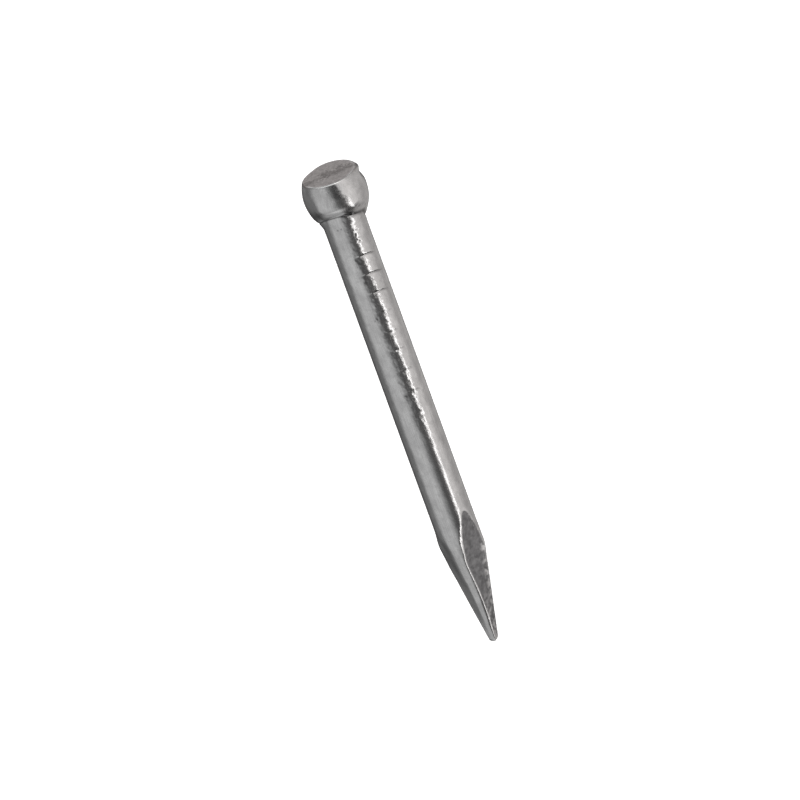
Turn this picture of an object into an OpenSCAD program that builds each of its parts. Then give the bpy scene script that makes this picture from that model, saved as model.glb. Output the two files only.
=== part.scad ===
// Lost-head round wire nail (panel pin), formed from one piece of drawn steel wire.
// It stands upright: the struck face is at z = 0, the point is straight below it.
// The two closing dies that pinched the point met in the XZ plane, so the point's
// four ridges lie on the X and Y axes and its four flats face halfway between them.

/* [Nail] */
// Length from the struck face to the end of the point
nail_l = 20; // [10:0.5:60]
// Diameter of the drawn wire
wire_d = 1.6; // [0.9:0.05:4]

/* [Head] */
// Diameter of the barrel-shaped head at its widest
head_d = 2.4; // [1.7:0.02:6]
// Depth of the widest level below the struck face
head_mid = 0.77; // [0.4:0.01:3]
// Radius of the barrel's curved side
barrel_r = 1.8; // [1.2:0.05:6]
// Bevel round the struck face
rim = 0.05; // [0.01:0.01:0.3]
// Height of the small flare between the head and the wire
flare_h = 0.2; // [0.05:0.01:1]
// How far the flare stands out from the wire at its top
flare_w = 0.07; // [0.02:0.01:0.3]

/* [Grip marks] */
// Number of tooth marks along each side
grip_n = 9; // [1:1:20]
// Distance between neighbouring marks
grip_pitch = 0.83; // [0.3:0.01:3]
// Depth of the first mark below the struck face
grip_top = 3.2; // [2.5:0.05:10]
// How deep a mark bites into the wire
grip_depth = 0.035; // [0.01:0.005:0.1]
// Direction of the bitten side, from +X
grip_side = -42; // [-90:1:90]
// Slant of the marks against a square cut
grip_slant = 14; // [0:1:30]

/* [Point] */
// Length of the point's ridges, from the side corners to the end
point_l = 3.85; // [1:0.05:12]
// Half width across the ridges at the blunt end
tip_w = 0.16; // [0.05:0.01:0.5]
// Radius of the ball that rounds off the blunt end
tip_ball_r = 0.25; // [0.1:0.01:1]

/* [Hidden] */
$fn = 96;
wire_r = wire_d / 2;
head_r = head_d / 2;
// Radius at the top of the flare, and the depth where the barrel curves in to meet it
flare_r = wire_r + flare_w;
neck_z = head_mid + sqrt(pow(barrel_r, 2) - pow(barrel_r - head_r + flare_r, 2));
// Radius of the flat struck face inside its bevel
face_r = head_r - barrel_r + sqrt(pow(barrel_r, 2) - pow(head_mid, 2)) - rim;
// Slope of the ridges, and the tilt of the flats between them
ridge_slope = (wire_r - tip_w) / point_l;
flat_tilt = atan(ridge_slope * cos(45));
flat_w = tip_w * cos(45);
// Size of a block that is certain to reach past the wire and the point
clear_w = 2 * wire_d;
clear_l = 2.5 * point_l;
// Ring that stands for one jaw tooth: its edge radius, height and distance off the axis
tooth_r = 1.25 * wire_r;
tooth_h = 0.16;
tooth_off = tooth_r - wire_r + grip_depth;

// Half section of the barrel-shaped head, bevelled at its top corner
module head_section() {
    intersection() {
        translate([head_r - barrel_r, -head_mid])
            circle(r = barrel_r);
        polygon([
            [0, 0],
            [face_r, 0],
            [face_r + head_r, -head_r],
            [face_r + head_r, -neck_z],
            [0, -neck_z]
        ]);
    }
}

// Head with the flare that blends it into the wire
module head() {
    rotate_extrude()
        head_section();
    translate([0, 0, -neck_z - flare_h])
        cylinder(h = flare_h, r1 = wire_r, r2 = flare_r);
}

// Drawn wire, left overlong for the point to be cut from it
module wire() {
    translate([0, 0, -nail_l - wire_d])
        cylinder(h = nail_l + wire_d - head_mid, r = wire_r);
}

// Everything outside one flat of the point
module flat_cut() {
    translate([flat_w, 0, -nail_l])
        rotate([0, flat_tilt, 0])
            translate([0, -clear_w, -clear_w])
                cube([clear_w, 2 * clear_w, clear_l]);
}

// Everything outside the rounded blunt end
module tip_cut() {
    difference() {
        translate([0, 0, -nail_l - 2 * wire_d])
            cylinder(h = 2 * wire_d + tip_ball_r, r = clear_w);
        translate([0, 0, tip_ball_r - nail_l])
            sphere(r = tip_ball_r);
    }
}

// Everything to take off the wire to leave the four-sided point
module point_cut() {
    for (turn = [45 : 90 : 315])
        rotate([0, 0, turn])
            flat_cut();
    tip_cut();
}

// V-edged ring standing to one side, so that it bites one side of the wire only
module tooth() {
    rotate([-grip_slant, 0, 0])
        translate([-tooth_off, 0, 0])
            rotate_extrude()
                polygon([
                    [tooth_r, 0],
                    [tooth_r + tooth_h, tooth_h],
                    [tooth_r + tooth_h, -tooth_h]
                ]);
}

// Tooth marks that the holding jaws left on two opposite sides of the wire
module grip_cut() {
    for (side = [0, 180])
        for (i = [0 : grip_n - 1])
            translate([0, 0, -grip_top - i * grip_pitch])
                rotate([0, 0, grip_side + side])
                    tooth();
}

module nail() {
    color("silver")
        difference() {
            union() {
                head();
                wire();
            }
            point_cut();
            grip_cut();
        }
}

nail();
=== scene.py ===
"""A lost-head wire nail, upright in the frame of its CAD model: struck face at z = 0, point straight below.

Depths are in millimetres below the struck face until the mesh is written in metres. Turns are in degrees
round the nail's axis, measured from the side that faces the camera, positive towards the camera's right.
"""

from math import atan, cos, pi, radians, sin

import bpy
import numpy as np
from mathutils import Matrix, Vector, noise


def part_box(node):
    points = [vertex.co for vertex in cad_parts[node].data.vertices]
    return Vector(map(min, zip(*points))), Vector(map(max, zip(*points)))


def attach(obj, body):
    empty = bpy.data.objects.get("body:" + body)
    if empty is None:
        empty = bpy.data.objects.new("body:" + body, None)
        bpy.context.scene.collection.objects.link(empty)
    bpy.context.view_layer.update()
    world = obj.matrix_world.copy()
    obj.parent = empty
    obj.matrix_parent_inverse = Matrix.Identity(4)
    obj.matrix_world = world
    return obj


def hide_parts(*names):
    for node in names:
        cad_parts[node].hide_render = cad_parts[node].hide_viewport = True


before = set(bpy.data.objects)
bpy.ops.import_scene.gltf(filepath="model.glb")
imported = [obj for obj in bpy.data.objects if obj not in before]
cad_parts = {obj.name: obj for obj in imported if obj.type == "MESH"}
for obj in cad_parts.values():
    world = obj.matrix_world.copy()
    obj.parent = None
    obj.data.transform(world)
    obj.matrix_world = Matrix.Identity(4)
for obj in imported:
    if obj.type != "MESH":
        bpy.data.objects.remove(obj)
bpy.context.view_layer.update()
node_low, node_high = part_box("nail")

MM = 0.001

# ---------------------------------------------------------------------------
# Sizes in millimetres: the CAD model's, with a rounder rim and a slightly wider blunt end
# ---------------------------------------------------------------------------
NAIL_L = (node_high.z - node_low.z) / MM
WIRE_R = 0.8

# Head: its radius at the widest level and that level's depth, the radius of its barrel-shaped side, and
# depths between which the crease at its bottom runs round the nail
HEAD_R = 1.2
HEAD_MID = 0.77
BARREL_R = 1.8
CREASE_FROM = 1.26
CREASE_TO = 2.15

# Radius of the struck face inside its rim, and the rim's own radius and angle
FACE_R = 0.975
RIM_ROUND = 0.075
RIM_ANGLE = radians(68.0)

# Flare between the head and the wire
FLARE_H = 0.2
FLARE_W = 0.07

# Point: length of its ridges, half width across them at the blunt end, and length of the rounded end
POINT_L = 3.85
TIP_W = 0.17
END_L = 0.2
# A depth well above the point, where its faces start to be worked out
POINT_FROM = 12.0

# Direction that faces the camera: 10.5 degrees from -Y towards +X
FRONT = radians(-79.5)

# Directions of the point's faces, from +X. The sheared pair is flat, the other pair bulges.
SHEARED_FLATS = (-45.0, 135.0)
ROUNDED_FLATS = (-135.0, 45.0)

# Soft edge down each bulging face: degrees off its middle, and reach as a part of the ridges' reach
BULGE_TURN = 14.0
BULGE_REACH = 0.9

# How far the bevel along a sheared flat's leading edge turns away from the flat, in degrees, and the same
# for the narrow blunt edge beside it on the ridge
LIP_TILT = 13.0
BLUNT_TILT = 37.5

# Radius that stands for no surface in that direction
OUTSIDE = 9.0

# Zones of the mesh, from the centre of the face to the end of the point
FACE, RIM, SIDE, END = range(4)

# Broad swellings and hollows: height, turn, half width in degrees, depth and half height along the nail.
# The last four are metal that the squeeze pushed out at the point's side corners.
SWELLINGS = (
    (0.05, -22.0, 34.0, 1.0, 0.27),
    (-0.055, -60.0, 14.0, 0.85, 0.42),
    (0.03, -95.0, 32.0, 1.52, 0.33),
    (-0.058, 95.0, 24.0, 0.38, 0.17),
    (0.05, -98.0, 18.0, 15.65, 0.45),
    (0.022, -98.0, 18.0, 16.6, 0.5),
    (0.02, 90.0, 18.0, 15.9, 0.5),
    (0.014, 79.5, 5.0, 15.95, 0.25),
)

# Marks of the jaw teeth: depth, how strong the nick is, and half its width in degrees
TEETH = (
    (3.16, 1.0, 27.0),
    (3.93, 1.2, 29.0),
    (4.71, 0.7, 26.0),
    (5.55, 0.35, 13.0),
    (6.38, 0.35, 8.0),
    (7.15, 0.4, 8.0),
    (8.03, 0.5, 9.0),
    (8.92, 0.4, 9.0),
    (9.78, 0.12, 8.0),
)
# Turn of the middle of the bitten side, and of the middle of the nicks
JAW_TURN = 35.0
NICK_TURN = 32.0
NICK_DEPTH = 0.03
NICK_HALF = 0.032
# Shallow scoop below each nick: its depth, the turn of its middle, and its reach to either side in degrees
SCOOP_DEPTH = 0.036
SCOOP_TURN = 15.0
SCOOP_HALF = 40.0
# How much deeper the marks lie on the side of the nail than on its front, because they slant
MARK_SLANT = 0.36

# Small dents and pimples: turn, depth, half width and height
SPOTS = (
    (8.0, 7.22, 0.035, 0.012),
    (9.8, 10.17, 0.035, 0.010),
    (18.7, 2.60, 0.05, -0.015),
    (14.0, 2.30, 0.04, -0.009),
    (22.0, 2.42, 0.045, -0.009),
    (16.0, 2.86, 0.04, 0.012),
    (24.0, 2.12, 0.04, -0.012),
    (-26.0, 1.94, 0.035, -0.016),
    (-15.0, 1.91, 0.033, -0.014),
    (-10.0, 3.30, 0.06, 0.010),
    (2.0, 3.42, 0.07, -0.012),
    (-4.0, 4.10, 0.06, 0.008),
    (0.0, 4.20, 0.06, -0.010),
    (3.0, 4.95, 0.05, 0.010),
    (-2.0, 5.25, 0.05, 0.008),
    (-6.0, 5.75, 0.06, -0.010),
    (-13.0, 5.80, 0.03, -0.008),
    (-5.0, 6.40, 0.05, 0.008),
    (-9.0, 8.45, 0.07, -0.008),
    (2.0, 8.55, 0.05, 0.008),
    (-4.0, 9.05, 0.06, -0.008),
    (36.0, 1.20, 0.05, -0.012),
    (60.0, 1.42, 0.045, -0.014),
    (66.0, 1.55, 0.05, 0.012),
    (66.0, 15.70, 0.04, 0.010),
    (72.0, 15.52, 0.035, 0.020),
    (60.0, 15.85, 0.035, 0.014),
    (68.0, 16.50, 0.035, 0.016),
)

# Torn patches along the middle of the face, left by the tool that cut the wire: place to the right and
# away from the camera, half sizes the same way, and how torn
TORN_PATCHES = (
    (-0.80, -0.16, 0.26, 0.17, 0.8),
    (-0.47, -0.14, 0.20, 0.12, 0.5),
    (-0.10, 0.02, 0.26, 0.26, 0.9),
    (0.16, -0.14, 0.16, 0.14, 0.5),
    (0.38, 0.04, 0.17, 0.25, 0.9),
    (0.48, 0.26, 0.11, 0.17, 0.8),
    (0.62, -0.06, 0.18, 0.14, 0.6),
    (0.82, 0.00, 0.24, 0.19, 0.8),
)


# ---------------------------------------------------------------------------
# Small helpers for smooth shapes
# ---------------------------------------------------------------------------
def smooth(low, high, x):
    """0 at low, 1 at high, and a smooth step between; low may be the larger of the two."""
    t = np.clip((x - low) / (high - low), 0.0, 1.0)
    return t * t * (3.0 - 2.0 * t)


def bump(x, centre, width):
    """A bell of height 1 that is about twice width across."""
    return np.exp(-(((x - centre) / width) ** 2))


def turned(turn, centre):
    """Turn measured from centre, wrapped to -180..180."""
    return (turn - centre + 180.0) % 360.0 - 180.0


def bump_round(turn, centre, width):
    """A bell in turn, the same all the way round the nail."""
    return bump(turned(turn, centre), 0.0, width)


def arch(x, half):
    """1 at 0, falling as a cosine to 0 at half to either side."""
    return np.cos(np.clip(x / half, -1.0, 1.0) * pi / 2.0)


def soft_min(a, b, width):
    """The smaller of a and b, rounded where they cross."""
    low = np.minimum(a, b)
    return low - width * np.log1p(np.exp(-np.abs(a - b) / width))


def noise_at(points, scale, seed, octaves=2):
    """Smooth noise of about -1..1 at each point, in cells of scale millimetres."""
    offset = Vector((seed * 17.3, seed * 7.1, seed * 3.7))
    flat = points.reshape(-1, 3) / scale
    values = [noise.fractal(Vector(p) + offset, 0.6, 2.0, octaves) for p in flat]
    return np.array(values).reshape(points.shape[:-1])


def placed(radius, theta, depth):
    """Points at a radius and a depth in each direction."""
    return np.stack([radius * np.cos(theta), radius * np.sin(theta), -depth], axis=-1)


# ---------------------------------------------------------------------------
# The nail's form
# ---------------------------------------------------------------------------
def angles():
    """Directions of the mesh's columns from +X, closer together at the point's four ridges."""
    columns = 160
    even = np.linspace(0.0, 2.0 * pi, columns, endpoint=False)
    return even - 0.08 * np.sin(4.0 * even)


def profile():
    """The mesh's rings from the centre of the face to the end of the point, as radius, depth and zone.

    On the side the radius is worked out elsewhere, because it differs from one direction to another. On
    the rounded end it is a part of the point's radius.
    """
    rows = [(r, 0.0, FACE) for r in np.linspace(0.03, FACE_R, 31)]
    for t in np.linspace(0.0, 1.0, 9)[1:]:
        angle = RIM_ANGLE * t
        rows.append((FACE_R + RIM_ROUND * sin(angle), RIM_ROUND * (1.0 - cos(angle)), RIM))
    # Stretches of the side: depth at the top and bottom, and number of rings
    rim_depth = rows[-1][1]
    stretches = (
        (rim_depth, CREASE_FROM, 40),
        (CREASE_FROM, CREASE_TO, 44),
        (CREASE_TO, 3.0, 24),
        (3.0, 10.1, 232),
        (10.1, 14.0, 74),
        (14.0, NAIL_L - END_L, 138),
    )
    for low, high, count in stretches:
        rows += [(0.0, depth, SIDE) for depth in np.linspace(low, high, count + 1)[1:]]
    for t in np.linspace(0.0, 1.0, 11)[1:-1]:
        angle = t * pi / 2.0
        rows.append((cos(angle), NAIL_L - END_L + END_L * sin(angle), END))
    return np.array(rows)


def neck_depth(turn):
    """Depth of the crease under the head: a tilted ring, high towards the camera and low at the back."""
    depth = 1.9 - 0.5 * bump_round(turn, -8.0, 95.0)
    depth += 0.3 * np.maximum(smooth(60.0, 97.0, turn), smooth(-115.0, -178.0, turn))
    depth += 0.08 * smooth(-5.0, 25.0, turn) * smooth(95.0, 70.0, turn)
    return depth + 0.06 * bump_round(turn, -95.0, 25.0)


def barrel(depth, side_r):
    """Radius of the head where its side is an arc of radius side_r."""
    return HEAD_R - side_r + np.sqrt(np.maximum(side_r**2 - (depth - HEAD_MID) ** 2, 0.0))


def head_radius(turn, depth):
    """Radius of the barrel-shaped head down to its crease, and of the flare and the wire below that."""
    crease = neck_depth(turn)
    flare = 0.01 + FLARE_W * 1.3 * smooth(45.0, 10.0, np.abs(turned(turn, -98.0)))
    # The lower half curves in just enough to meet the flare at the crease
    drop = HEAD_R - WIRE_R - flare
    lower_r = ((crease - HEAD_MID) ** 2 + drop**2) / (2.0 * drop)
    below = WIRE_R + flare * np.clip(1.0 - (depth - crease) / (FLARE_H * 1.6), 0.0, 1.0) ** 1.15
    head = np.where(depth < HEAD_MID, barrel(depth, BARREL_R), barrel(depth, lower_r))
    return np.where(depth < crease, head, below)


def ridge_reach(depth):
    """Distance from the axis to the ridges of the point."""
    return TIP_W + (WIRE_R - TIP_W) / POINT_L * (NAIL_L - depth)


def flat_reach(depth):
    """Distance from the axis to the sheared flats, which run out a little sooner than the bulging faces."""
    plane = ridge_reach(depth) * cos(pi / 4.0) + 0.016 * smooth(16.0, 14.6, depth)
    return plane - 0.025 * bump(depth, 15.4, 0.45)


def twist(depth):
    """How far the point's section is turned by the squeeze, in degrees."""
    return 7.0 * np.clip(depth - 16.4, 0.0, 3.4) - 2.0 * bump(depth, 16.7, 0.8)


def flats_radius(section_turn, depth):
    """Radius of the two sheared flats of the point."""
    radius = np.full_like(depth, OUTSIDE)
    for centre in SHEARED_FLATS:
        facing = np.cos(np.radians(turned(section_turn, centre)))
        flat = np.where(facing > 0.1, flat_reach(depth) / np.maximum(facing, 0.1), OUTSIDE)
        radius = np.minimum(radius, flat)
    return radius


def rounded_radius(section_turn, depth):
    """Radius of the two bulging faces of the point: each is two narrow facets with a soft edge between."""
    reach = np.maximum(ridge_reach(depth), 0.05)
    middle = radians(BULGE_TURN)
    radius = np.full_like(depth, OUTSIDE)
    for centre in ROUNDED_FLATS:
        off = turned(section_turn, centre)
        facets = []
        for ridge in (-pi / 4.0, pi / 4.0):
            rise = BULGE_REACH * cos(middle) - cos(ridge)
            tilt = atan(rise / (sin(ridge) - BULGE_REACH * sin(middle)))
            facing = np.cos(np.radians(off) - tilt)
            facet = reach * cos(ridge - tilt) / np.maximum(facing, 0.2)
            facets.append(np.where(facing > 0.2, facet, OUTSIDE))
        bulging = soft_min(facets[0], facets[1], 0.018)
        radius = np.minimum(radius, np.where(np.abs(off) < 80.0, bulging, OUTSIDE))
    return radius


def flat_edge(depth):
    """Half the angle that a sheared flat spans round the axis, and the radius at its edges."""
    reach = ridge_reach(depth)
    half = np.degrees(np.arccos(np.clip(flat_reach(depth) / WIRE_R, cos(pi / 4.0), 1.0)))
    return half, np.minimum(reach, WIRE_R)


def lip_radius(section_turn, depth, ragged):
    """Radius of the narrow bevels that shearing leaves along the leading edge of each sheared flat."""
    half, edge_r = flat_edge(depth)
    lip = 0.0165 * smooth(LIP_TILT, 38.0, half) * (1.0 - 0.25 * smooth(15.9, 16.6, depth))
    lip *= 1.0 + 0.8 * ragged
    blunt = 0.04 * smooth(37.0, 44.0, half) * smooth(NAIL_L + 0.4, 19.0, depth)
    radius = np.full_like(depth, OUTSIDE)
    for centre in SHEARED_FLATS:
        off = turned(section_turn, centre)
        for tilt, cut in ((LIP_TILT, lip), (BLUNT_TILT, blunt)):
            reach = edge_r * np.cos(np.radians(half - tilt)) - cut
            facing = np.cos(np.radians(off + tilt))
            usable = (facing > 0.3) & (half > tilt)
            radius = np.where(usable, np.minimum(radius, reach / np.maximum(facing, 0.3)), radius)
    return radius


def side_radius(theta, turn, section_turn, depth):
    """Radius of the head, the wire and the point, and the radius of the point's section at its end."""
    level = np.clip(depth, 0.0, NAIL_L - END_L)
    flats = flats_radius(section_turn, level)
    rounded = rounded_radius(section_turn, level)
    side = head_radius(turn, depth)
    pinched = soft_min(soft_min(side, rounded, 0.02), flats, 0.007)
    side = np.where(depth > POINT_FROM, pinched, side)

    on_wire = placed(np.full_like(depth, WIRE_R), theta, depth)
    lip = lip_radius(section_turn, depth, noise_at(on_wire, 0.1, 9))
    lip_round = 0.01 * smooth(18.0, 44.0, flat_edge(depth)[0]) + 0.001
    side = np.where((depth > POINT_FROM) & (lip < OUTSIDE), soft_min(side, lip, lip_round), side)

    end_ring = soft_min(np.full_like(depth, WIRE_R), soft_min(flats, rounded, 0.006), 0.008)
    return side, end_ring


def uneven(radius, turn, depth):
    """The radius with this nail's own faults: a flattened head, swellings, a notch and a fold on its rim."""
    back_left = 0.105 * bump_round(turn, -138.0, 30.0) * smooth(1.0, 0.1, depth)
    front = 0.06 * bump_round(turn, 0.0, 50.0) * smooth(0.6, 0.0, depth)
    radius = radius * (1.0 - back_left / HEAD_R) * (1.0 - front / HEAD_R)
    for height, middle, half, level, reach in SWELLINGS:
        radius = radius + height * bump_round(turn, middle, half) * bump(depth, level, reach)
    fold = bump_round(turn, 92.0, 20.0) * bump(depth, 0.11, 0.08)
    return radius + 0.06 * fold * smooth(0.6, 1.0, radius)


# ---------------------------------------------------------------------------
# Relief on the form, and masks for the material
# ---------------------------------------------------------------------------
def sheared_mask(section_turn, depth, ragged):
    """1 on the two sheared flats of the point, 0 elsewhere, with a worn and ragged trailing edge."""
    half, edge_r = flat_edge(depth)
    mask = np.zeros_like(depth)
    for centre in SHEARED_FLATS:
        off = turned(section_turn, centre)
        leading = np.radians(off + half) * edge_r
        trailing = np.radians(half - off) * edge_r
        scale = np.clip(edge_r / 0.6, 0.25, 1.0) * smooth(4.0, 36.0, half)
        own = smooth(0.06 * scale, 0.09 * scale + 0.02, leading)
        own *= smooth(0.0, 0.05 * scale + 0.02, trailing - 0.16 * scale * np.maximum(ragged, 0.0))
        worn = smooth(0.34, 0.05, trailing) * smooth(-0.1, 0.4, ragged) * smooth(15.2, 16.0, depth)
        worn = np.maximum(worn, smooth(17.4, 19.0, depth) * smooth(-0.15, 0.35, ragged))
        mask = np.maximum(mask, own * (1.0 - 0.8 * worn))
    return mask


def face_mask(radius, turn, depth, zone):
    """1 on the struck face, and on its rim at the left and right, where the dull skin rolls over it."""
    face = (zone == FACE) * smooth(FACE_R + 0.02, FACE_R - 0.05, radius)
    ends = np.maximum(smooth(-45.0, -75.0, turn), 0.7 * smooth(45.0, 70.0, turn))
    return np.maximum(face, (zone <= RIM) * smooth(0.08, 0.05, depth) * ends)


def crease_mask(turn, depth):
    """1 along the crease under the head, which is widest at the front and on the right. Besides cutting the
    groove, it sets where shade is painted into the colour, and its wide part on the right paints the dark
    shade under the head there.
    """
    wide = smooth(-5.0, 20.0, turn) * smooth(95.0, 65.0, turn) + 1.2 * bump(turn, 12.0, 13.0)
    return bump(depth, neck_depth(turn) - 0.035 * wide, 0.028 + 0.058 * wide)


def torn_mask(across, away, edges):
    """How torn the face is at each place; edges is the noise that makes the patches ragged."""
    torn = np.zeros_like(across)
    for middle_x, middle_y, half_x, half_y, strength in TORN_PATCHES:
        off = np.hypot((across - middle_x) / half_x, (away - middle_y) / half_y)
        torn = np.maximum(torn, strength * smooth(1.3, 0.5, off + 1.1 * edges))
    return torn


def grain_relief(turn, depth, wire, sheared, coarse, fine):
    """Fine unevenness of the wire, strongest on its bitten sides, and of the sheared flats."""
    from_jaws = 0.5 * np.abs(turned(2.0 * turn, 2.0 * JAW_TURN))
    bitten = 0.35 + 0.65 * smooth(60.0, 25.0, from_jaws)
    bitten *= 0.35 + 0.65 * smooth(1.3, 1.9, depth)
    bitten *= 1.0 - 0.6 * smooth(10.4, 11.4, depth)
    relief = wire * (0.0052 * coarse + 0.0044 * fine) * bitten
    return relief + sheared * (0.006 * coarse + 0.007 * fine)


def spot_relief(turn, depth):
    """Every small dent and pimple on the side of the nail."""
    relief = np.zeros_like(depth)
    for middle, level, width, height in SPOTS:
        across = np.radians(turned(turn, middle)) * WIRE_R
        relief += height * np.exp(-(across**2 + (depth - level) ** 2) / width**2)
    return relief


def jaw_marks(turn, depth):
    """The marks that the jaws left on two opposite sides: relief of the scoops, and a mask of the nicks."""
    scoops = np.zeros_like(depth)
    nicks = np.zeros_like(depth)
    ends = [place for place, _, _ in TEETH[1:]] + [TEETH[-1][0] + 0.8]
    for side in (0.0, 180.0):
        own = turned(turn, side)
        level = depth - MARK_SLANT * (1.0 - np.cos(np.radians(own)))
        across = arch(turned(own, SCOOP_TURN), SCOOP_HALF) ** 2
        for (place, strength, half), end in zip(TEETH, ends):
            firm = min(strength, 1.0)
            run = np.clip((level - place) / (end - place), 0.0, 1.0)
            soft = 0.1 - 0.07 * firm
            ramp = smooth(place - soft, place + soft, level) * (1.0 - run) ** (1.2 + 2.0 * firm)
            scoops -= SCOOP_DEPTH * (0.55 + 0.45 * firm) * ramp * across
            nicks += strength * arch(turned(own, NICK_TURN), half) ** 0.8 * bump(level, place, NICK_HALF)
    return scoops, nicks


def build_nail():
    """The nail as rings of points from its face to its point, and the masks for its material."""
    theta = angles()
    cap, depth, zone = (np.repeat(column[:, None], len(theta), axis=1) for column in profile().T)
    world_turn = np.degrees(theta) + np.zeros_like(depth)
    turn = turned(world_turn, np.degrees(FRONT))
    section_turn = world_turn - twist(depth)

    side, end_ring = side_radius(theta, turn, section_turn, depth)
    radius = np.where(zone <= RIM, cap, np.where(zone == SIDE, side, cap * end_ring))
    radius = uneven(radius, turn, depth)
    points = placed(radius, theta, depth)

    # Places on the face, to the camera's right and away from the camera
    right = np.array([-sin(FRONT), cos(FRONT)])
    across = points[..., :2] @ right
    away = points[..., :2] @ np.array([-cos(FRONT), -sin(FRONT)])

    coarse = noise_at(points, 0.32, 1)
    fine = noise_at(points, 0.11, 2)
    sheared = sheared_mask(section_turn, depth, noise_at(points, 0.2, 7)) * (zone >= SIDE)
    face = face_mask(radius, turn, depth, zone)
    torn = torn_mask(across, away, noise_at(points, 0.11, 6, 3))
    crease = crease_mask(turn, depth)
    scoops, nicks = jaw_marks(turn, depth)
    spots = spot_relief(turn, depth)

    # Relief of the side, along the radius
    relief = grain_relief(turn, depth, (zone == SIDE) * (1.0 - sheared), sheared, coarse, fine)
    relief += (scoops - NICK_DEPTH * nicks + spots - 0.022 * crease) * (zone == SIDE)
    points[..., 0] += relief * np.cos(theta)
    points[..., 1] += relief * np.sin(theta)

    # Relief of the face, and its tilt: it is a little higher on the right
    points[..., 2] -= face * (0.012 * torn + 0.003 * coarse + 0.003 * fine)
    points[..., 2] += 0.012 * smooth(1.2, 0.0, depth) * across

    # The head sits a little to the right of the wire, and the point leans a little to the left
    lean = 0.045 * smooth(2.1, 1.2, depth) - 0.098 * np.clip((depth - 15.9) / 4.0, 0.0, 1.0)
    points[..., :2] += lean[..., None] * right

    # Painted shade: darkening painted into the crease, the dents and the nicks
    painted_shade = np.maximum(crease, 0.6 * np.clip(-spots / 0.016, 0.0, 1.0))
    painted_shade = np.maximum(painted_shade, 0.6 * np.clip(1.8 * nicks, 0.0, 1.0)) * (zone == SIDE)
    return points, {"sheared": sheared, "face": face, "torn": face * torn, "painted_shade": painted_shade}


def mesh_from(points, masks, name):
    """A closed mesh from rings of points, with a vertex at each end, in metres."""
    rings, columns, _ = points.shape
    top = points[0].mean(axis=0)
    bottom = points[-1].mean(axis=0)
    bottom[2] = -NAIL_L
    verts = np.concatenate([points.reshape(-1, 3), [top, bottom]]) * MM
    i = np.arange(rings - 1)[:, None] * columns
    j = np.arange(columns)[None, :]
    k = (j + 1) % columns
    quads = np.stack([i + j, i + columns + j, i + columns + k, i + k], axis=-1).reshape(-1, 4)
    top_vert = rings * columns
    last_ring = (rings - 1) * columns
    faces = quads.tolist()
    faces += [[top_vert, a, (a + 1) % columns] for a in range(columns)]
    faces += [[top_vert + 1, last_ring + (a + 1) % columns, last_ring + a] for a in range(columns)]
    mesh = bpy.data.meshes.new(name)
    mesh.from_pydata(verts.tolist(), [], faces)
    for key, values in masks.items():
        layer = mesh.attributes.new(key, "FLOAT", "POINT")
        ends = [values[0].mean(), values[-1].mean()]
        layer.data.foreach_set("value", np.concatenate([values.reshape(-1), ends]).astype(np.float32))
    mesh.validate()
    mesh.shade_smooth()
    return mesh


# ---------------------------------------------------------------------------
# Material
# ---------------------------------------------------------------------------
# Colours of the struck face, its torn patches, the sheared flats, and the painted shade in the crease, dents
# and nicks
FACE_LIGHT = (0.455, 0.426, 0.421, 1.0)
FACE_DARK = (0.305, 0.286, 0.281, 1.0)
TORN_DARK = (0.15, 0.137, 0.133, 1.0)
SHEARED_DARK = (0.137, 0.137, 0.14, 1.0)
SHEARED_LIGHT = (0.258, 0.258, 0.262, 1.0)
# Painted shade colour for the crease, the dents and the nicks
PAINTED_SHADE_COLOUR = (0.06, 0.058, 0.058, 1.0)


def grey(level):
    """A neutral colour."""
    return (level, level, level, 1.0)


def feed(tree, socket, value):
    """Give an input a socket to follow or a fixed value."""
    if isinstance(value, bpy.types.NodeSocket):
        tree.links.new(value, socket)
    else:
        socket.default_value = value


def mixed(tree, factor, first, second):
    """A colour between two colours."""
    node = tree.nodes.new("ShaderNodeMix")
    node.data_type = "RGBA"
    for index, value in ((0, factor), (6, first), (7, second)):
        feed(tree, node.inputs[index], value)
    return node.outputs[2]


def calc(tree, operation, first, second=0.0):
    """One maths node."""
    node = tree.nodes.new("ShaderNodeMath")
    node.operation = operation
    feed(tree, node.inputs[0], first)
    feed(tree, node.inputs[1], second)
    return node.outputs[0]


def remapped(tree, value, low, high, new_low, new_high, steps="LINEAR"):
    """A value moved from one range to another, and clamped to it."""
    node = tree.nodes.new("ShaderNodeMapRange")
    node.interpolation_type = steps
    tree.links.new(value, node.inputs["Value"])
    node.inputs["From Min"].default_value = low
    node.inputs["From Max"].default_value = high
    node.inputs["To Min"].default_value = new_low
    node.inputs["To Max"].default_value = new_high
    return node.outputs["Result"]


def noise_texture(tree, coords, scale, detail, along=1.0):
    """Noise with scale cells per millimetre, or scale times along of them down the nail."""
    mapping = tree.nodes.new("ShaderNodeMapping")
    mapping.inputs["Scale"].default_value = [scale / MM, scale / MM, along * scale / MM]
    tree.links.new(coords, mapping.inputs["Vector"])
    texture = tree.nodes.new("ShaderNodeTexNoise")
    texture.inputs["Scale"].default_value = 1.0
    texture.inputs["Detail"].default_value = detail
    tree.links.new(mapping.outputs["Vector"], texture.inputs["Vector"])
    return texture.outputs[0]


def bumped(tree, height, strength, distance):
    """A bump node for relief that is too small for the mesh; distance is in millimetres."""
    node = tree.nodes.new("ShaderNodeBump")
    node.inputs["Strength"].default_value = strength
    node.inputs["Distance"].default_value = distance * MM
    tree.links.new(height, node.inputs["Height"])
    return node


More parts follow.
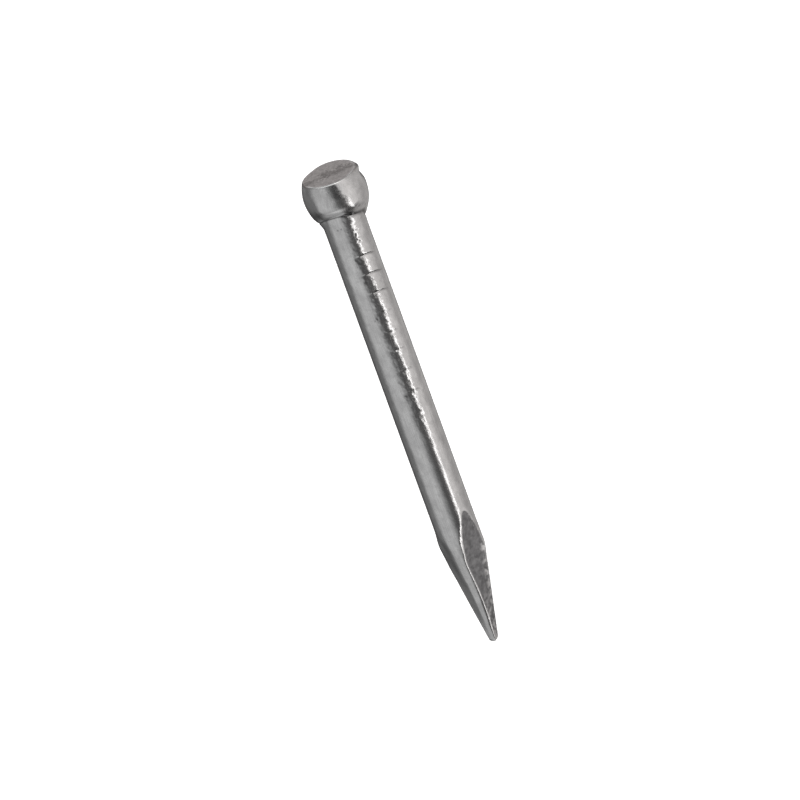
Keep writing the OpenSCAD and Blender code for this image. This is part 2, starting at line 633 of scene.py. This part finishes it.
def steel_colour(tree, masks, stains, grain, drawn, mottle):
    """Grey steel with stains and drawing lines, a brown-grey face, darker sheared flats, and painted shade
    in the crease, dents and nicks.
    """
    colour = mixed(tree, remapped(tree, stains, 0.35, 0.65, 0.0, 1.0), grey(0.62), grey(0.50))
    colour = mixed(tree, remapped(tree, drawn, 0.35, 0.7, 0.0, 0.35), colour, grey(0.42))
    colour = mixed(tree, remapped(tree, mottle, 0.5, 0.68, 0.0, 0.4), colour, grey(0.40))
    speckle = calc(tree, "MULTIPLY", calc(tree, "ADD", grain, mottle), 0.5)
    face = mixed(tree, remapped(tree, speckle, 0.38, 0.62, 0.0, 1.0), FACE_LIGHT, FACE_DARK)
    colour = mixed(tree, masks["face"], colour, face)
    colour = mixed(tree, calc(tree, "MULTIPLY", masks["torn"], 0.72), colour, TORN_DARK)
    sheared = mixed(tree, remapped(tree, mottle, 0.35, 0.7, 0.0, 1.0), SHEARED_DARK, SHEARED_LIGHT)
    colour = mixed(tree, masks["sheared"], colour, sheared)
    # Painted shade: the crease, the dents and the nicks are darkened in the colour
    return mixed(tree, calc(tree, "MULTIPLY", masks["painted_shade"], 0.85), colour, PAINTED_SHADE_COLOUR)


def steel_material():
    """Drawn steel: bright on the wire, dull on the face, and rough and dull on the sheared flats."""
    material = bpy.data.materials.new("drawn_steel")
    material.use_nodes = True
    tree = material.node_tree
    shader = tree.nodes["Principled BSDF"]
    shader.inputs["Metallic"].default_value = 1.0
    coords = tree.nodes.new("ShaderNodeTexCoord").outputs["Object"]

    # One of these masks marks where shade is painted into the colour
    masks = {}
    for key in ("sheared", "face", "painted_shade", "torn"):
        reader = tree.nodes.new("ShaderNodeAttribute")
        reader.attribute_name = key
        masks[key] = reader.outputs["Fac"]

    stains = noise_texture(tree, coords, 2.6, 5.0, 0.7)
    grain = noise_texture(tree, coords, 14.0, 4.0)
    drawn = noise_texture(tree, coords, 26.0, 4.0, 0.04)
    mottle = noise_texture(tree, coords, 5.0, 4.0)
    tree.links.new(steel_colour(tree, masks, stains, grain, drawn, mottle), shader.inputs["Base Color"])

    rough = remapped(tree, drawn, 0.3, 0.7, 0.15, 0.25)
    dull = remapped(tree, grain, 0.3, 0.7, 0.42, 0.55)
    rough = mixed(tree, masks["face"], rough, dull)
    rough = mixed(tree, masks["sheared"], rough, grey(0.5))
    tree.links.new(rough, shader.inputs["Roughness"])

    lines = bumped(tree, drawn, 0.25, 0.004)
    pits = bumped(tree, grain, 0.4, 0.007)
    tree.links.new(lines.outputs["Normal"], pits.inputs["Normal"])
    tree.links.new(pits.outputs["Normal"], shader.inputs["Normal"])
    return material


# ---------------------------------------------------------------------------
# Studio: camera, floor and light, in metres
# ---------------------------------------------------------------------------
# Camera: height in degrees, how far it is rolled, its distance, the width it sees at the nail, and the
# middle of its view, below the struck face and to the right of the nail's axis
VIEW_UP = 25.0
ROLL = radians(20.1)
CAMERA_AWAY = 0.45
FRAME_W = 0.02924
AIM_DEPTH = 9.478 * MM
AIM_RIGHT = -0.334 * MM

# Floor: its radius, and its depth below the struck face
FLOOR_R = 2.5
FLOOR_DEPTH = 0.08

# Distance of the light panels from the middle of the nail
PANEL_AWAY = 0.6

# The soft cards: slants of the side edges, left edge, right edge, lower edge, upper edge and strength.
# An edge is the angle where the card has faded to nothing and the angle where it is full, as turns for the
# side edges and as angles above the horizon for the other two. A slant is degrees of turn per degree up.
CARDS = (
    ((0.0, 0.55), (-106.0, -76.0), (14.0, -34.0), (-80.0, -55.0), (-5.0, -25.0), 0.45),
    ((0.0, 0.30), (-106.0, -76.0), (2.0, -18.0), (-25.0, -5.0), (50.0, 20.0), 0.45),
    ((0.0, 0.20), (-150.0, -114.0), (12.0, -34.0), (-54.0, -28.0), (50.0, 20.0), 0.18),
    ((0.0, 0.00), (-200.0, -190.0), (-110.0, -140.0), (-36.0, -5.0), (95.0, 90.0), 0.16),
    ((0.0, 0.55), (-60.0, -30.0), (14.0, -20.0), (-95.0, -80.0), (-40.0, -60.0), 0.20),
    ((0.0, 0.00), (-60.0, -20.0), (60.0, 30.0), (-45.0, -30.0), (10.0, -10.0), 0.045),
    ((0.38, 0.50), (29.0, 37.0), (175.0, 140.0), (-54.0, -42.0), (95.0, 90.0), 0.50),
    ((0.38, 0.50), (29.0, 37.0), (108.0, 58.0), (-54.0, -42.0), (95.0, 90.0), 0.38),
    ((0.38, 0.50), (29.0, 37.0), (175.0, 140.0), (-22.0, 0.0), (95.0, 90.0), 0.12),
    ((0.0, 0.00), (75.0, 105.0), (175.0, 150.0), (-85.0, -60.0), (-42.0, -54.0), 0.42),
    ((0.0, 0.00), (-200.0, -190.0), (40.0, 0.0), (-100.0, -95.0), (-40.0, -70.0), 0.45),
    ((0.0, 0.00), (-200.0, -190.0), (200.0, 190.0), (30.0, 55.0), (95.0, 90.0), 0.16),
    ((0.0, 0.00), (-140.0, -80.0), (70.0, 15.0), (34.0, 52.0), (95.0, 90.0), 1.0),
)
# Strength of the light from everywhere else, and of the white that the camera sees behind the nail
SURROUND = 0.06
BACKDROP = 1.1
WARM_WHITE = (1.0, 0.965, 0.95, 1.0)


def direction(turn, up):
    """Unit vector away from the nail, turn degrees from the camera's side and up above the horizon."""
    a = FRONT + radians(turn)
    return Vector((cos(a) * cos(radians(up)), sin(a) * cos(radians(up)), sin(radians(up))))


def add_camera():
    """A long lens that looks down at the nail and is rolled, so that the nail leans in the picture."""
    right = Vector((-sin(FRONT), cos(FRONT), 0.0))
    back = direction(0.0, VIEW_UP)
    rise = back.cross(right)
    aim = Vector((0.0, 0.0, -AIM_DEPTH)) + right * AIM_RIGHT
    x_axis = right * cos(ROLL) - rise * sin(ROLL)
    y_axis = rise * cos(ROLL) + right * sin(ROLL)
    data = bpy.data.cameras.new("camera")
    data.sensor_width = 36.0
    data.lens = data.sensor_width * CAMERA_AWAY / FRAME_W
    data.clip_start = 0.01
    data.clip_end = 20.0
    camera = bpy.data.objects.new("camera", data)
    basis = Matrix((x_axis, y_axis, back)).transposed()
    camera.matrix_world = Matrix.Translation(aim + back * CAMERA_AWAY) @ basis.to_4x4()
    bpy.context.scene.collection.objects.link(camera)
    bpy.context.scene.camera = camera


def add_floor():
    """A wide pale disc, well below the point, so that no shadow shows, as in a product picture."""
    sides = 96
    corners = [2.0 * pi * k / sides for k in range(sides)]
    ring = [(FLOOR_R * cos(a), FLOOR_R * sin(a), -FLOOR_DEPTH) for a in corners]
    mesh = bpy.data.meshes.new("floor")
    mesh.from_pydata(ring, [], [list(range(sides))])
    floor = bpy.data.objects.new("floor", mesh)
    bpy.context.scene.collection.objects.link(floor)
    material = bpy.data.materials.new("pale_floor")
    material.use_nodes = True
    shader = material.node_tree.nodes["Principled BSDF"]
    shader.inputs["Base Color"].default_value = grey(0.95)
    shader.inputs["Roughness"].default_value = 0.9
    shader.inputs["Emission Color"].default_value = grey(1.0)
    shader.inputs["Emission Strength"].default_value = 0.6
    mesh.materials.append(material)
    floor.visible_glossy = False
    floor.visible_shadow = False


def add_panel(name, turn, up, size, brightness, colour=(1.0, 1.0, 1.0), roll=0.0):
    """A soft rectangular light that faces the nail; size is its width and height."""
    data = bpy.data.lights.new(name, "AREA")
    data.shape = "RECTANGLE"
    data.size, data.size_y = size
    data.energy = brightness * pi * size[0] * size[1]
    data.color = colour
    lamp = bpy.data.objects.new(name, data)
    middle = Vector((0.0, 0.0, -0.5 * NAIL_L * MM))
    outward = direction(turn, up)
    level = Vector((0.0, 0.0, 1.0)).cross(outward).normalized()
    basis = Matrix((level, outward.cross(level), outward)).transposed()
    place = Matrix.Translation(middle + outward * PANEL_AWAY)
    lamp.matrix_world = place @ basis.to_4x4() @ Matrix.Rotation(radians(roll), 4, "Z")
    lamp.visible_camera = False
    bpy.context.scene.collection.objects.link(lamp)


def add_light():
    """The narrow strip that makes the bright line down the nail, and a weak panel behind the nail."""
    add_panel("strip_right", 47.5, -38.0, (0.058, 0.55), 2.4, (1.0, 0.99, 0.985), 27.0)
    add_panel("panel_back", 178.0, 34.0, (0.7, 0.4), 0.7)


def fade(tree, value, start, end):
    """0 at start, 1 at end, and a smooth step between; start may be the larger of the two."""
    if start < end:
        return remapped(tree, value, start, end, 0.0, 1.0, "SMOOTHSTEP")
    return remapped(tree, value, end, start, 1.0, 0.0, "SMOOTHSTEP")


def soft_card(tree, turn, up, slants, left, right, low, high, strength):
    """Light from one soft card, as CARDS describes it; slanted edges turn about the camera's own level."""
    raised = calc(tree, "ADD", up, VIEW_UP)
    from_left = calc(tree, "ADD", turn, calc(tree, "MULTIPLY", raised, slants[0]))
    from_right = calc(tree, "ADD", turn, calc(tree, "MULTIPLY", raised, slants[1]))
    level = calc(tree, "MULTIPLY", fade(tree, from_left, *left), fade(tree, from_right, *right))
    level = calc(tree, "MULTIPLY", level, fade(tree, up, *low))
    level = calc(tree, "MULTIPLY", level, fade(tree, up, *high))
    return calc(tree, "MULTIPLY", level, strength)


def dot_with(tree, vector, axis):
    """Dot product of a vector socket with a fixed direction."""
    node = tree.nodes.new("ShaderNodeVectorMath")
    node.operation = "DOT_PRODUCT"
    tree.links.new(vector, node.inputs[0])
    node.inputs[1].default_value = axis
    return node.outputs["Value"]


def background(tree, colour, strength):
    """A background shader's output."""
    node = tree.nodes.new("ShaderNodeBackground")
    feed(tree, node.inputs["Color"], colour)
    feed(tree, node.inputs["Strength"], strength)
    return node.outputs[0]


def add_world():
    """Soft cards round the nail on a dim surround, and white behind the picture."""
    world = bpy.data.worlds.new("studio")
    bpy.context.scene.world = world
    world.use_nodes = True
    tree = world.node_tree
    tree.nodes.clear()
    coords = tree.nodes.new("ShaderNodeTexCoord").outputs["Generated"]
    ahead = dot_with(tree, coords, direction(0.0, 0.0))
    right = dot_with(tree, coords, direction(90.0, 0.0))
    turn = calc(tree, "DEGREES", calc(tree, "ARCTAN2", right, ahead))
    up = calc(tree, "DEGREES", calc(tree, "ARCSINE", dot_with(tree, coords, (0.0, 0.0, 1.0))))

    level = SURROUND
    for card in CARDS:
        level = calc(tree, "ADD", soft_card(tree, turn, up, *card), level)
    tint = mixed(tree, fade(tree, turn, -10.0, 40.0), grey(1.0), WARM_WHITE)

    choice = tree.nodes.new("ShaderNodeMixShader")
    path = tree.nodes.new("ShaderNodeLightPath")
    tree.links.new(path.outputs["Is Camera Ray"], choice.inputs[0])
    tree.links.new(background(tree, tint, level), choice.inputs[1])
    tree.links.new(background(tree, grey(1.0), BACKDROP), choice.inputs[2])
    out = tree.nodes.new("ShaderNodeOutputWorld")
    tree.links.new(choice.outputs[0], out.inputs["Surface"])


# ---------------------------------------------------------------------------
# Scene
# ---------------------------------------------------------------------------
points, masks = build_nail()
nail = bpy.data.objects.new("nail_body", mesh_from(points, masks, "nail_body"))
bpy.context.scene.collection.objects.link(nail)
nail.data.materials.append(steel_material())
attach(nail, "root")
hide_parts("nail")

add_camera()
add_floor()
add_light()
add_world()
bpy.context.scene.view_settings.view_transform = "Standard"

bpy.context.view_layer.update()
